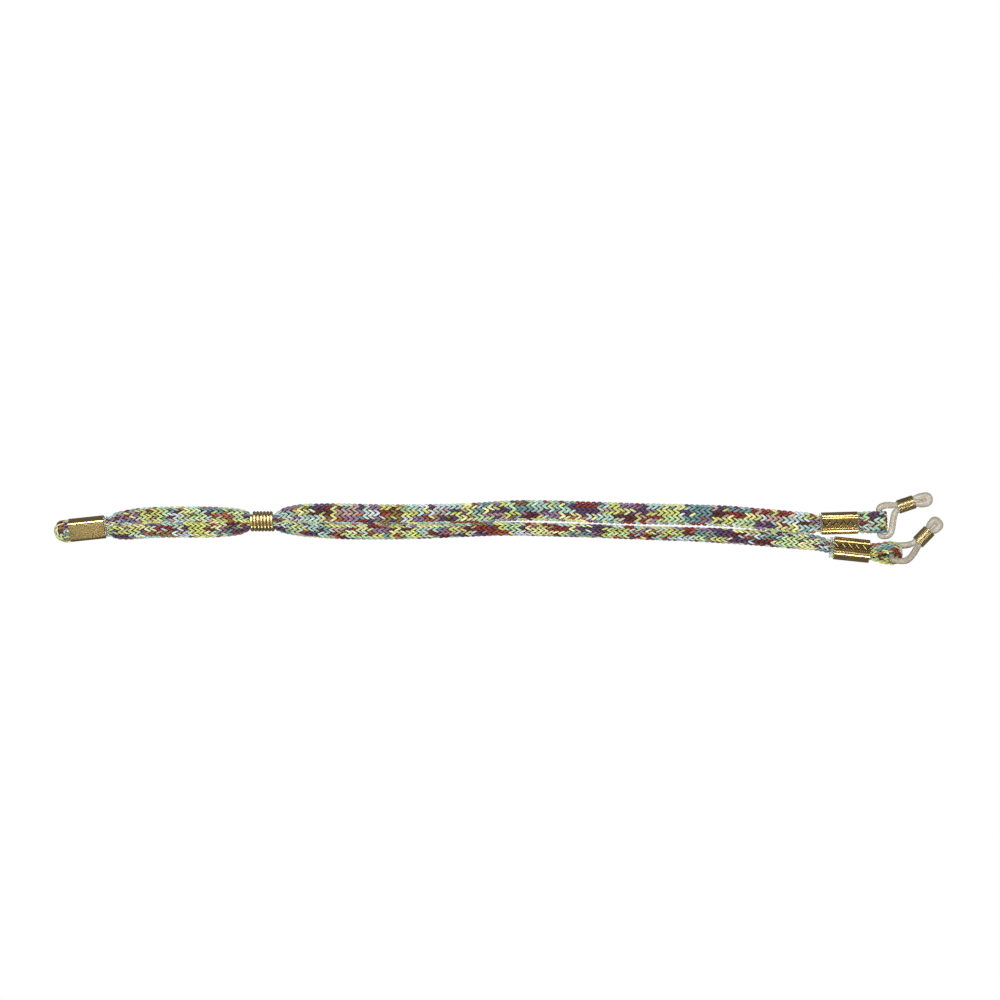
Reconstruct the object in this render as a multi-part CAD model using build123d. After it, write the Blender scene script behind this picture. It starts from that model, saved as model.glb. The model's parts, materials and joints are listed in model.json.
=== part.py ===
from build123d import *
import math
import os

# Eyeglass retainer strap, in millimetres, lying on a table.
# +X runs along the strap towards the two temple ends, +Z is up and z = 0 is the table.
# One knitted cord is folded in half: the fold is held by the tail crimp, both halves pass
# through the adjuster coil, and each cut end is looped back into its own end crimp.
# A silicone ring hangs in each end loop, with a small close-wound coil that slides on it.

# --- brass crimps: bent sheet, plain on one side, a toothed seam between two rolls on the other
CRIMP_LENGTH = 12.7
CRIMP_WIDTH = 8.0
CRIMP_HEIGHT = 5.0
SHEET = 0.4
CRIMP_CORNER = 1.3
ROLL_CORNER = 1.7
ROLL_LIP = 0.55
SEAM_HALF_WIDTH = 1.5
SEAM_DEPTH = 0.8
TOOTH_COUNT = 5
TOOTH_REACH = 0.75
SEAM_GAP = 0.2

# --- clear liner sleeve between cord and crimp
LINER_WALL = 0.25
LINER_OVERHANG = 0.7
LINER_FIT = 0.05
TAIL_LINER_SHIFT = 0.5
LOWER_LINER_SHIFT = -0.9
CORD_OVERHANG = 1.0
LEAST_CORNER = 0.3

# --- knitted cord
CORD_WIDTH = 6.8
CORD_HEIGHT = 2.8
ROUNDED_WIDTH = 4.2
ROUNDED_HEIGHT = 4.0
BACK_WIDTH = 5.1
BACK_HEIGHT = 3.0
TABLE_GAP = 0.02
FOLD_GAP = 0.1
LOBE_WIDTH = 4.1
LOBE_HEIGHT = 4.2
TAIL_MOUTH_WIDTH = 3.0
MOUTH_HEIGHT = 2.6
UPPER_MOUTH_MARGIN = 0.6
LOWER_MOUTH_MARGIN = 1.6

# --- end loops of the cord: a hole for the ring across each
LOOP_REACH = 7.95
UPPER_BAND = 7.4
UPPER_HOLE = 1.15
UPPER_LAYER = 1.75
UPPER_HOLE_Y = 0
UPPER_HOLE_Z = 0.43
LOWER_BAND = 5.6
LOWER_HOLE = 1.9
LOWER_LAYER = 2.1
LOWER_HOLE_Y = -0.6
LOWER_HOLE_Z = 0.72
LOWER_LOOP_ROLL = -52

# --- adjuster coil: oval, few turns of thick wire
ADJUSTER_WIRE = 1.25
ADJUSTER_TURNS = 7
ADJUSTER_PITCH = 1.3
ADJUSTER_BORE_WIDTH = 5.0
ADJUSTER_BORE_HEIGHT = 3.1
ADJUSTER_X = -85.5
ADJUSTER_Y = 3.3
RIB_SHARE = 0.36
NECK_CLEARANCE = 0.1
NECK_OVERHANG = 0.6

# --- silicone rings and the small coils on them
SILICONE = 2.0
LEG_GAP = 0.06
COIL_WIRE = 0.42
COIL_TURNS = 14
COIL_PITCH = 0.44
COIL_FIT = 0.1
RING_CLEARANCE = 0.35
COIL_ENTRY = 1.4
COIL_EXIT = 0.6
EYE_START = 1.8
SEGMENT_SHARE = 0.45

leg_offset = (SILICONE + LEG_GAP) / 2
coil_bore_radius = leg_offset + SILICONE / 2 + COIL_FIT
coil_outer_radius = coil_bore_radius + COIL_WIRE
coil_length = COIL_TURNS * COIL_PITCH
hinge_bend = SILICONE / 2 + RING_CLEARANCE
adjuster_length = ADJUSTER_TURNS * ADJUSTER_PITCH
adjuster_height = ADJUSTER_BORE_HEIGHT + 2 * ADJUSTER_WIRE
cord_inset = SHEET + LINER_FIT + LINER_WALL + LINER_FIT

os.makedirs("parts", exist_ok=True)


def save(shape, name, color):
    shape.label = name
    shape.color = Color(*color)
    export_step(shape, f"parts/{name}.step")


CORD_COLOR = (0.72, 0.76, 0.55)
BRASS_COLOR = (0.78, 0.62, 0.30)
CLEAR_COLOR = (0.88, 0.90, 0.90)
SILICONE_COLOR = (0.82, 0.79, 0.74)


# --- paths ------------------------------------------------------------------------------

def corner_radii(points, share=SEGMENT_SHARE):
    """The largest arc for each corner, leaving a little straight on every run."""
    radii = []
    for i in range(1, len(points) - 1):
        back = Vector(*points[i]) - Vector(*points[i - 1])
        ahead = Vector(*points[i + 1]) - Vector(*points[i])
        turn = math.radians(back.get_angle(ahead))
        back_share = 2 * share if i == 1 else share
        ahead_share = 2 * share if i == len(points) - 2 else share
        room = min(back_share * back.length, ahead_share * ahead.length)
        radii.append(room / math.tan(turn / 2))
    return radii


def rounded_path(points, last_radius=None):
    radii = corner_radii(points)
    if last_radius is not None:
        radii[-1] = last_radius
    return FilletPolyline(*points, radius=radii)


def heading_at(path, where):
    return (path % where).normalized()


def section_plane(at, heading, roll=0.0):
    """Plane across the cord: its x runs sideways, level unless rolled, its z along the cord."""
    sideways = Vector(0, 0, 1).cross(Vector(*heading)).normalized()
    return Plane(origin=at, x_dir=sideways, z_dir=heading).rotated((0, 0, roll))


def oval(plane, width, height):
    return plane * Ellipse(width / 2, height / 2)


# --- crimps -------------------------------------------------------------------------------

def crimp_face(inset):
    """Cross-section of a crimp in (y, z), drawn inside its outline by the inset."""
    half = CRIMP_WIDTH / 2 - inset
    top = CRIMP_HEIGHT / 2 - inset
    bottom = -top
    seam = SEAM_HALF_WIDTH + inset
    floor = CRIMP_HEIGHT / 2 - SEAM_DEPTH - inset
    roll_width = half - seam
    outline = Polyline(
        (-half, bottom), (half, bottom), (half, top), (seam, top), (seam, floor),
        (-seam, floor), (-seam, top), (-half, top), close=True,
    )
    face = make_face(outline)
    base = [v for v in face.vertices() if v.Y < 0]
    face = fillet(base, max(CRIMP_CORNER - inset, LEAST_CORNER))
    roll_corner = min(ROLL_CORNER - inset, 0.9 * roll_width)
    lip = min(ROLL_LIP - inset, 0.9 * (roll_width - roll_corner), 0.9 * (top - floor))
    outer = [v for v in face.vertices() if v.Y > top - 1e-6 and abs(v.X) > half - 1e-6]
    face = fillet(outer, roll_corner)
    if lip > 0.05:
        inner = [v for v in face.vertices() if v.Y > top - 1e-6 and abs(v.X) < seam + 1e-6]
        face = fillet(inner, lip)
    return face


def along_x(face, start, end):
    """Extrude a (y, z) face from one x to another."""
    plane = Plane(origin=(start, 0, 0), x_dir=(0, 1, 0), z_dir=(1, 0, 0))
    return extrude(plane * face, amount=end - start, dir=(1, 0, 0))


def seam_slit():
    """The zigzag gap where the crimp's two toothed edges meet."""
    step = CRIMP_LENGTH / (2 * TOOTH_COUNT)
    count = 2 * TOOTH_COUNT + 1
    middle = [(-CRIMP_LENGTH / 2 + i * step, TOOTH_REACH * (-1) ** i) for i in range(count)]
    middle[0] = (middle[0][0] - 1, middle[0][1])
    middle[-1] = (middle[-1][0] + 1, middle[-1][1])
    upper = [(x, y + SEAM_GAP / 2) for x, y in middle]
    lower = [(x, y - SEAM_GAP / 2) for x, y in reversed(middle)]
    floor = CRIMP_HEIGHT / 2 - SEAM_DEPTH
    band = Plane.XY.offset(floor - 1.5 * SHEET) * make_face(Polyline(*upper, *lower, close=True))
    return extrude(band, amount=2 * SHEET, dir=(0, 0, 1))


def make_crimp():
    half = CRIMP_LENGTH / 2
    shell = along_x(crimp_face(0), -half, half) - along_x(crimp_face(SHEET), -half - 1, half + 1)
    return shell - seam_slit()


def make_liner():
    half = CRIMP_LENGTH / 2 + LINER_OVERHANG
    outer = along_x(crimp_face(SHEET + LINER_FIT), -half, half)
    inner = along_x(crimp_face(SHEET + LINER_FIT + LINER_WALL), -half - 1, half + 1)
    return outer - inner


def seat(x, y, heading, roll):
    """Where a crimp lies: turned, rolled about its own length and resting on the table."""
    turn = Rot(0, 0, heading) * Rot(roll, 0, 0)
    lift = -(turn * plain_crimp).bounding_box().min.Z
    return Pos(x, y, lift) * turn


plain_crimp = make_crimp()
plain_liner = make_liner()
TAIL_ROLL = 180 + 25
LOWER_ROLL = -33
CRIMPS_MEET_Y = -1.33
LOWER_DROP = 1.47
tail_seat = seat(-148.5, 0.75, 6, TAIL_ROLL)
upper_seat = seat(122.3, CRIMPS_MEET_Y + CRIMP_WIDTH / 2, 1.6, 0)
lower_seat = seat(126.5, CRIMPS_MEET_Y - CRIMP_WIDTH / 2 - LOWER_DROP, -6, LOWER_ROLL)
for name, place, shift in (
    ("tail", tail_seat, TAIL_LINER_SHIFT), ("upper_end", upper_seat, 0), ("lower_end", lower_seat, LOWER_LINER_SHIFT),
):
    save(place * plain_crimp, f"{name}_crimp", BRASS_COLOR)
    save(place * Pos(shift, 0, 0) * plain_liner, f"{name}_liner", CLEAR_COLOR)


# --- cord: folded tail ----------------------------------------------------------------------

half_in_crimp = CRIMP_LENGTH / 2 + CORD_OVERHANG
lobe_centre = LOBE_WIDTH / 2 + FOLD_GAP
divider = Box(3 * CRIMP_LENGTH, FOLD_GAP, 2 * CRIMP_HEIGHT)
in_crimp = along_x(crimp_face(cord_inset), -half_in_crimp, half_in_crimp) - divider
lobe_face = Plane.XZ * Pos(lobe_centre, 0) * Ellipse(LOBE_WIDTH / 2, LOBE_HEIGHT / 2)
fold_x = (CORD_OVERHANG - LINER_OVERHANG) / 2 - half_in_crimp
fold = Pos(fold_x, 0, 0) * Rot(0, 0, 90) * revolve(lobe_face, Axis.Z, 180)
save(tail_seat * (in_crimp + fold), "cord_tail_loop", CORD_COLOR)


# --- cord: neck inside the adjuster -----------------------------------------------------------

neck_width = ADJUSTER_BORE_WIDTH / 2 - 1.5 * NECK_CLEARANCE
neck_height = ADJUSTER_BORE_HEIGHT - 3 * NECK_CLEARANCE
neck_offset = neck_width / 2 + NECK_CLEARANCE / 2
neck_z = adjuster_height / 2 + TABLE_GAP
neck_left = ADJUSTER_X - adjuster_length / 2 - NECK_OVERHANG
neck_right = ADJUSTER_X + adjuster_length / 2 + NECK_OVERHANG


def neck_section(x, side):
    plane = section_plane((x, ADJUSTER_Y + side * neck_offset, neck_z), (1, 0, 0))
    return oval(plane, neck_width, neck_height)


neck = [
    extrude(neck_section(neck_left, side), amount=neck_right - neck_left, dir=(1, 0, 0))
    for side in (1, -1)
]
save(Compound(neck), "cord_neck", CORD_COLOR)


# --- cord: runs between the crimps and the adjuster ---------------------------------------------

def crimp_mouth(place, end, side, width, height):
    """Oval across the cord just outside a crimp, at its centre or beside its middle line."""
    at = (end * half_in_crimp, side, -SEAM_DEPTH / 2)
    return place * oval(section_plane(at, (1, 0, 0)), width, height)


def cord_run(name, start, route, end, width, height):
    """A run of constant section along the route, tapered by a loft to the face at each end."""
    path = rounded_path(route)
    first = oval(section_plane(path @ 0, heading_at(path, 0)), width, height)
    last = oval(section_plane(path @ 1, heading_at(path, 1)), width, height)
    middle = sweep(first, path=path)
    expected = first.area * path.length
    radii = corner_radii(route)
    print(f"{name}: radii {min(radii):.0f} to {max(radii):.0f}, "
          f"volume {middle.volume:.0f} of {expected:.0f}, length {path.length:.1f}")
    run = loft([start, first], ruled=True) + middle + loft([last, end], ruled=True)
    save(run, name, CORD_COLOR)
    return path.length


def level(points, z):
    return [(x, y, z) for x, y in points]


half_mouth = CRIMP_WIDTH / 4 - cord_inset / 2
back_z = BACK_HEIGHT / 2 + TABLE_GAP
back_upper = level([(-135.6, 4.35), (-126, 5.55), (-113, 5.65), (-101.5, 5.6), (-95.0, 5.4)], back_z)
back_lower = level([(-135.6, -0.85), (-126, 0.35), (-113, 0.35), (-101.5, 0.3), (-95.0, 0.15)], back_z)
# The tail crimp lies face up, so its own +y side is the strap's -y side.
tail_upper = crimp_mouth(tail_seat, 1, -half_mouth, TAIL_MOUTH_WIDTH, MOUTH_HEIGHT)
tail_lower = crimp_mouth(tail_seat, 1, half_mouth, TAIL_MOUTH_WIDTH, MOUTH_HEIGHT)
cord_run("cord_back_upper", tail_upper, back_upper, neck_section(neck_left, 1), BACK_WIDTH, BACK_HEIGHT)
cord_run("cord_back_lower", tail_lower, back_lower, neck_section(neck_left, -1), BACK_WIDTH, BACK_HEIGHT)

def beside(inner_edge, half_width, height):
    """Centre line of a strand, from the edge it turns to the other strand."""
    return [(x, y + half_width, height / 2 + TABLE_GAP) for x, y in inner_edge]


upper_route = beside([
    (-70.5, 2.75), (-62, 2.6), (-50, 2.25), (-36.8, 2.2), (-19.5, 2.55), (-8, 2.85), (3.4, 3.8),
    (14.9, 3.85), (36, 3), (50.4, 2.45), (64.7, 2.35), (82, 1.9), (93.5, 1), (104.9, -0.05),
    (110.5, -0.6),
], CORD_WIDTH / 2, CORD_HEIGHT)
lower_route = beside([
    (-70.5, 2.45), (-62, 1.9), (-50, 1.55), (-36.8, 1.5), (-19.5, 1.95), (-8, 2.55), (3.4, 2.7),
    (14.9, 2.5), (36, 1.9), (53.2, 1.15), (70.5, 0.75), (87.7, -0.2), (99, -0.9), (107, -1.75),
    (113, -2.7),
], -ROUNDED_WIDTH / 2, ROUNDED_HEIGHT)
widest_mouth = CRIMP_WIDTH - 2 * cord_inset
upper_mouth = crimp_mouth(upper_seat, -1, 0, widest_mouth - UPPER_MOUTH_MARGIN, MOUTH_HEIGHT)
lower_mouth = crimp_mouth(lower_seat, -1, 0, widest_mouth - LOWER_MOUTH_MARGIN, MOUTH_HEIGHT)
cord_run("cord_upper_strand", neck_section(neck_right, 1), upper_route, upper_mouth,
         CORD_WIDTH, CORD_HEIGHT)
cord_run("cord_lower_strand", neck_section(neck_right, -1), lower_route, lower_mouth,
         ROUNDED_WIDTH, ROUNDED_HEIGHT)


# --- cord: end loops, each with the ring's hole across it ------------------------------------------

hole_x = CRIMP_LENGTH / 2 + LOOP_REACH


def end_loop(band, hole_radius, layer, hole_y, hole_z, roll):
    """The cord inside its crimp, and the loop beyond it: a teardrop seen along the hole."""
    inside = along_x(crimp_face(cord_inset), -half_in_crimp, half_in_crimp)
    mouth_x = CRIMP_LENGTH / 2 + LINER_OVERHANG + LINER_FIT
    middle = -SEAM_DEPTH / 2
    outer = Circle(hole_radius + layer).edge().moved(Pos(hole_x, hole_z))
    mouth = Line((mouth_x, middle - MOUTH_HEIGHT / 2), (mouth_x, middle + MOUTH_HEIGHT / 2))
    meeting_x = mouth_x + layer
    meeting = Line((meeting_x, middle - FOLD_GAP), (meeting_x, middle + FOLD_GAP))
    inner = Circle(hole_radius).edge().moved(Pos(hole_x, hole_z))
    side = make_hull([outer, mouth]) - make_hull([inner, meeting])
    loop = Pos(0, hole_y, 0) * extrude(Plane.XZ * side, amount=band / 2, both=True)
    return inside + Rot(roll, 0, 0) * loop


lower_roll = LOWER_LOOP_ROLL - LOWER_ROLL
upper_loop = end_loop(UPPER_BAND, UPPER_HOLE, UPPER_LAYER, UPPER_HOLE_Y, UPPER_HOLE_Z, 0)
lower_loop = end_loop(LOWER_BAND, LOWER_HOLE, LOWER_LAYER, LOWER_HOLE_Y, LOWER_HOLE_Z, lower_roll)
save(upper_seat * upper_loop, "cord_upper_loop", CORD_COLOR)
save(lower_seat * lower_loop, "cord_lower_loop", CORD_COLOR)


# --- adjuster coil ----------------------------------------------------------------------------------

def make_adjuster():
    """Seven close oval turns, each a rounded rib, joined side by side."""
    outer = SlotOverall(ADJUSTER_BORE_WIDTH + 2 * ADJUSTER_WIRE, adjuster_height)
    bore = SlotOverall(ADJUSTER_BORE_WIDTH, ADJUSTER_BORE_HEIGHT)
    turns = []
    for i in range(ADJUSTER_TURNS):
        start = i * ADJUSTER_PITCH - adjuster_length / 2
        turn = along_x(outer, start, start + ADJUSTER_PITCH)
        rims = turn.edges().filter_by(lambda e: abs(e.tangent_at(0.5).X) < 1e-3)
        turns.append(fillet(rims, RIB_SHARE * ADJUSTER_WIRE))
    body = Part() + turns
    return body - along_x(bore, -adjuster_length, adjuster_length)


save(Pos(ADJUSTER_X, ADJUSTER_Y, neck_z) * make_adjuster(), "adjuster_coil", BRASS_COLOR)


# --- silicone rings -----------------------------------------------------------------------------------

def frame_of(place, roll, hole_y, hole_z):
    """Centre and direction of the hole in a cord loop."""
    local = place * Rot(roll, 0, 0)
    centre = (local * Pos(hole_x, hole_y, hole_z)).position
    along = (local * Pos(hole_x, hole_y + 1, hole_z)).position - centre
    return centre, along


def silicone_ring(name, hinge, across, reach, coil_near, coil_far, left_legs, right_legs, eye):
    """A closed ring: straight through the cord loop, two legs into the coil, a small eye past it."""
    heading = (coil_far - coil_near).normalized()
    side = Vector(0, 0, 1).cross(heading).normalized()
    eye_length, eye_half = eye
    apex = coil_far + heading * eye_length
    halves = []
    for sign, legs in ((1, left_legs), (-1, right_legs)):
        offset = side * (sign * leg_offset)
        spread = side * (sign * eye_half)
        route = [
            apex, apex + spread, coil_far + heading * EYE_START + spread,
            coil_far + offset + heading * COIL_EXIT, coil_near + offset - heading * COIL_ENTRY,
            *legs, hinge + across * (sign * reach), hinge,
        ]
        route = [tuple(point) for point in route]
        path = rounded_path(route, last_radius=hinge_bend)
        face = Plane(origin=path @ 0, z_dir=path % 0) * Circle(SILICONE / 2)
        half_ring = sweep(face, path=path)
        expected = math.pi * (SILICONE / 2) ** 2 * path.length
        print(f"{name}: tightest radius {min(corner_radii(route)):.1f}, "
              f"volume {half_ring.volume:.1f} of {expected:.1f}, length {path.length:.1f}")
        halves.append(half_ring)
    save(halves[0] + halves[1], name, SILICONE_COLOR)


def make_ring_coil():
    """Close-wound wire as one sleeve, a rounded rib for each turn."""
    profile = Rectangle(coil_outer_radius - COIL_WIRE / 2 - coil_bore_radius, coil_length)
    profile = Pos((coil_bore_radius + coil_outer_radius - COIL_WIRE / 2) / 2, coil_length / 2) * profile
    for i in range(COIL_TURNS):
        bead = Pos(coil_outer_radius - COIL_WIRE / 2, (i + 0.5) * COIL_PITCH) * Circle(COIL_WIRE / 2)
        profile += bead
    return revolve(Plane.XZ * profile, Axis.Z, 360)


def from_hinge(hinge, *offsets):
    """Places given across the table from a hinge, each with its own height above the table."""
    return [Vector(hinge.X + x, hinge.Y + y, z) for x, y, z in offsets]


coil_z = coil_outer_radius + TABLE_GAP
upper_hinge, upper_across = frame_of(upper_seat, 0, UPPER_HOLE_Y, UPPER_HOLE_Z)
lower_hinge, lower_across = frame_of(lower_seat, lower_roll, LOWER_HOLE_Y, LOWER_HOLE_Z)
upper_coil_near = from_hinge(upper_hinge, (6.706, 5.331, coil_z))[0]
upper_coil_heading = Vector(0.948, 0.319, 0).normalized()
lower_coil_near = from_hinge(lower_hinge, (9.658, 3.698, coil_z))[0]
lower_coil_heading = Vector(0.70, 0.714, 0).normalized()
upper_reach = UPPER_BAND / 2 + RING_CLEARANCE + SILICONE / 2
lower_reach = LOWER_BAND / 2 + RING_CLEARANCE + SILICONE / 2

silicone_ring(
    "upper_temple_ring", upper_hinge, upper_across, upper_reach, upper_coil_near,
    upper_coil_near + upper_coil_heading * coil_length,
    from_hinge(upper_hinge, (3.106, 6.131, 2.8)),
    from_hinge(upper_hinge, (5.106, 0.531, 2.7), (4.706, -3.369, 2.8), (2.906, -5.369, 2.9)),
    (5.6, 1.45),
)
silicone_ring(
    "lower_temple_ring", lower_hinge, lower_across, lower_reach, lower_coil_near,
    lower_coil_near + lower_coil_heading * coil_length,
    from_hinge(lower_hinge, (6.658, 2.898, 1.7), (4.158, 2.598, 1.15)),
    from_hinge(lower_hinge, (8.458, 0.398, 4.3), (6.458, -2.002, 6.9), (4.158, -3.202, 8.2)),
    (4.3, 1.75),
)
for name, near, heading in (
    ("upper_ring_coil", upper_coil_near, upper_coil_heading),
    ("lower_ring_coil", lower_coil_near, lower_coil_heading),
):
    save(Plane(origin=near, z_dir=heading).location * make_ring_coil(), name, BRASS_COLOR)
for name, hinge, across in (("upper", upper_hinge, upper_across), ("lower", lower_hinge, lower_across)):
    print(name, "hinge", tuple(round(v, 3) for v in hinge), tuple(round(v, 4) for v in across))
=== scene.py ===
"""Eyeglass retainer strap lying on a pale table, seen from straight above.

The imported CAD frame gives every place. This script makes the knitted cord, the wound wire
coils and the silicone rings as detailed meshes, and gives each CAD part its material.
Everything is in metres, with +X along the strap and +Z up off the table.
"""
import json
import math

import bpy
import numpy as np
from mathutils import Matrix, Vector


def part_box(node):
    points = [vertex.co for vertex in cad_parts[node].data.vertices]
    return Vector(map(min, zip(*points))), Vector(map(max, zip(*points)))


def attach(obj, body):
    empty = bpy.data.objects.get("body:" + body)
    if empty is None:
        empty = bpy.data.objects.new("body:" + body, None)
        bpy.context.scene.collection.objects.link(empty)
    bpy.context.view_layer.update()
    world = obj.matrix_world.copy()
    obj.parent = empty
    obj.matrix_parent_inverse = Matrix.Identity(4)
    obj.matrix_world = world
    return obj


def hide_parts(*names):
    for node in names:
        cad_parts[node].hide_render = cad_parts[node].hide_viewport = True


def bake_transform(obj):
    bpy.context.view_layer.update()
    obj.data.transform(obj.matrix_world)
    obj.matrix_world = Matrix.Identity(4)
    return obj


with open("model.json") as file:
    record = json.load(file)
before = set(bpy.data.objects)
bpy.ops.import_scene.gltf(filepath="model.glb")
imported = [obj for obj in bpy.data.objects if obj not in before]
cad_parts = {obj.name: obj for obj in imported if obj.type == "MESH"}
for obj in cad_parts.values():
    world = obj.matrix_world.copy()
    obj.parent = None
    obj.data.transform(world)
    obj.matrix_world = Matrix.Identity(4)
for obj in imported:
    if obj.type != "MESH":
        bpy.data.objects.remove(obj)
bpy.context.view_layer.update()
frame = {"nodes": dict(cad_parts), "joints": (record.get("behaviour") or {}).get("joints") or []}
MM = 0.001
HALF_CRIMP = 6.35  # half of a crimp's length; it stays in millimetres, as the routes' points do


# ---------------------------------------------------------------- camera and studio
CAMERA_HEIGHT = 1.0
VIEW_WIDTH = 0.36
WIDTH_TAKEN_AT = 0.003
VIEW_CENTRE_Y = 0.01098
SENSOR = 36.0


def make_camera():
    data = bpy.data.cameras.new("camera")
    data.sensor_width = SENSOR
    data.lens = SENSOR * (CAMERA_HEIGHT - WIDTH_TAKEN_AT) / VIEW_WIDTH
    data.clip_start = 0.01
    data.clip_end = 10
    camera = bpy.data.objects.new("camera", data)
    camera.location = (0, VIEW_CENTRE_Y, CAMERA_HEIGHT)
    bpy.context.scene.collection.objects.link(camera)
    bpy.context.scene.camera = camera


def area_light(name, place, size, watts, color):
    """A rectangular lamp aimed at the middle of the strap."""
    data = bpy.data.lights.new(name, "AREA")
    data.shape = "RECTANGLE"
    data.size, data.size_y = size
    data.energy = watts
    data.color = color
    light = bpy.data.objects.new(name, data)
    light.location = place
    light.rotation_euler = (-Vector(place)).to_track_quat("-Z", "Y").to_euler()
    bpy.context.scene.collection.objects.link(light)


def make_studio():
    """Three soft lamps over a dim room; the table is a plain white sheet without shadows."""
    area_light("lamp", (-0.1, 0.44, 1.2), (0.6, 0.4), 17.0, (1.0, 0.985, 0.95))
    area_light("front", (0.15, -0.75, 0.95), (0.6, 0.3), 7.0, (1.0, 0.97, 0.92))
    area_light("left", (-1.0, 0.15, 0.8), (0.3, 0.6), 3.0, (0.95, 0.97, 1.0))
    world = bpy.data.worlds.new("studio")
    world.use_nodes = True
    background = world.node_tree.nodes["Background"]
    background.inputs["Color"].default_value = (0.97, 0.98, 1.0, 1)
    background.inputs["Strength"].default_value = 0.15
    bpy.context.scene.world = world
    bpy.context.scene.view_settings.view_transform = "Standard"
    bpy.ops.mesh.primitive_plane_add(size=6, location=(0, 0, -0.0001))
    floor = bpy.context.active_object
    floor.name = "table_top"
    floor.data.materials.append(floor_material())
    floor.visible_glossy = False
    floor.visible_diffuse = False


# ---------------------------------------------------------------- material helpers
def linear(red, green, blue):
    """Eight-bit screen colour as linear light."""
    values = []
    for channel in (red, green, blue):
        c = channel / 255
        values.append(c / 12.92 if c <= 0.04045 else ((c + 0.055) / 1.055) ** 2.4)
    return (*values, 1.0)


def new_material(name, **settings):
    material = bpy.data.materials.new(name)
    material.use_nodes = True
    shader = material.node_tree.nodes["Principled BSDF"]
    for key, value in settings.items():
        shader.inputs[key.replace("_", " ")].default_value = value
    return material, material.node_tree, shader


def add_node(tree, kind, **inputs):
    node = tree.nodes.new(kind)
    for key, value in inputs.items():
        node.inputs[key.replace("_", " ")].default_value = value
    return node


def noise(tree, vector, scale, detail=4.0, roughness=0.55):
    node = add_node(tree, "ShaderNodeTexNoise", Scale=scale, Detail=detail, Roughness=roughness)
    tree.links.new(vector, node.inputs["Vector"])
    return node.outputs["Fac"]


def ramp(tree, value, stops):
    node = tree.nodes.new("ShaderNodeValToRGB")
    elements = node.color_ramp.elements
    while len(elements) < len(stops):
        elements.new(0.5)
    for element, (position, color) in zip(elements, stops):
        element.position = position
        element.color = color
    tree.links.new(value, node.inputs["Fac"])
    return node.outputs["Color"]


def grey(value):
    return (value, value, value, 1.0)


def multiply(tree, a, b, amount=1.0):
    node = tree.nodes.new("ShaderNodeMix")
    node.data_type = "RGBA"
    node.blend_type = "MULTIPLY"
    node.inputs["Factor"].default_value = amount
    tree.links.new(a, node.inputs["A"])
    tree.links.new(b, node.inputs["B"])
    return node.outputs["Result"]


def bump(tree, shader, height, strength, distance):
    node = add_node(tree, "ShaderNodeBump", Strength=strength, Distance=distance)
    tree.links.new(height, node.inputs["Height"])
    tree.links.new(node.outputs["Normal"], shader.inputs["Normal"])


def object_coordinates(tree, stretch=(1, 1, 1)):
    place = tree.nodes.new("ShaderNodeTexCoord")
    mapping = tree.nodes.new("ShaderNodeMapping")
    mapping.inputs["Scale"].default_value = stretch
    tree.links.new(place.outputs["Object"], mapping.inputs["Vector"])
    return mapping.outputs["Vector"]


def floor_material():
    material, _, shader = new_material("white_sheet", Roughness=0.9, Specular_IOR_Level=0.0)
    shader.inputs["Base Color"].default_value = grey(0.0)
    shader.inputs["Emission Color"].default_value = grey(1.0)
    shader.inputs["Emission Strength"].default_value = 1.0
    return material


def yarn_material():
    """Space-dyed acrylic yarn: the dye is on the mesh, the plies and fibres are here."""
    material, tree, shader = new_material(
        "space_dyed_yarn", Roughness=0.62, Specular_IOR_Level=0.35, Sheen_Weight=0.12, Sheen_Roughness=0.4
    )
    dye = tree.nodes.new("ShaderNodeAttribute")
    dye.attribute_name = "dye"
    where = object_coordinates(tree)
    heather = ramp(tree, noise(tree, where, 1500, 4.0), [(0.32, grey(0.7)), (0.6, grey(1.0))])
    color = multiply(tree, dye.outputs["Color"], heather)
    lay = tree.nodes.new("ShaderNodeUVMap")
    lay.uv_map = "OFBake"
    stretched = tree.nodes.new("ShaderNodeMapping")
    stretched.inputs["Scale"].default_value = (60, 420, 1)
    tree.links.new(lay.outputs["UV"], stretched.inputs["Vector"])
    ply = noise(tree, stretched.outputs["Vector"], 1.0, 2.0)
    color = multiply(tree, color, ramp(tree, ply, [(0.35, grey(0.7)), (0.6, grey(1.0))]), 0.8)
    tree.links.new(color, shader.inputs["Base Color"])
    bump(tree, shader, ply, 0.5, 0.00025)
    return material


def core_material():
    """The inside of the tube seen through the eyelets: the same yarn in deep shade."""
    material, tree, shader = new_material("yarn_shadow_core", Roughness=0.95, Specular_IOR_Level=0.05)
    mottle = noise(tree, object_coordinates(tree), 420, 2.0)
    stops = [(0.36, linear(26, 34, 30)), (0.5, linear(52, 34, 26)), (0.64, linear(64, 52, 30))]
    tree.links.new(ramp(tree, mottle, stops), shader.inputs["Base Color"])
    return material


def metal_material(name, bright, dull, roughness, scratch_stretch):
    """Brass: a little duller in soft patches, its polish broken by fine drawn scratches."""
    material, tree, shader = new_material(name, Metallic=1.0)
    patches = noise(tree, object_coordinates(tree), 150, 3.0)
    tree.links.new(ramp(tree, patches, [(0.3, dull), (0.7, bright)]), shader.inputs["Base Color"])
    scratches = noise(tree, object_coordinates(tree, scratch_stretch), 1100, 3.0)
    low, high = roughness
    rough = ramp(tree, scratches, [(0.3, grey(low)), (0.75, grey(high))])
    tree.links.new(rough, shader.inputs["Roughness"])
    return material


TEETH = 5
TOOTH_REACH = 0.75 * MM
RECESS_HALF_WIDTH = 1.52 * MM
SEAM_SIDE_FROM = 1.2 * MM
SEAM_LINE_HALF_WIDTH = 0.14 * MM
TOOTH_SLOPE = 0.5 * MM
TOOTH_HEIGHT = 0.3 * MM
# painted shade: how much darker the recess floor between the rolls is drawn
RECESS_SHADE = 0.16
LINE_SHADE = 0.62


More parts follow.
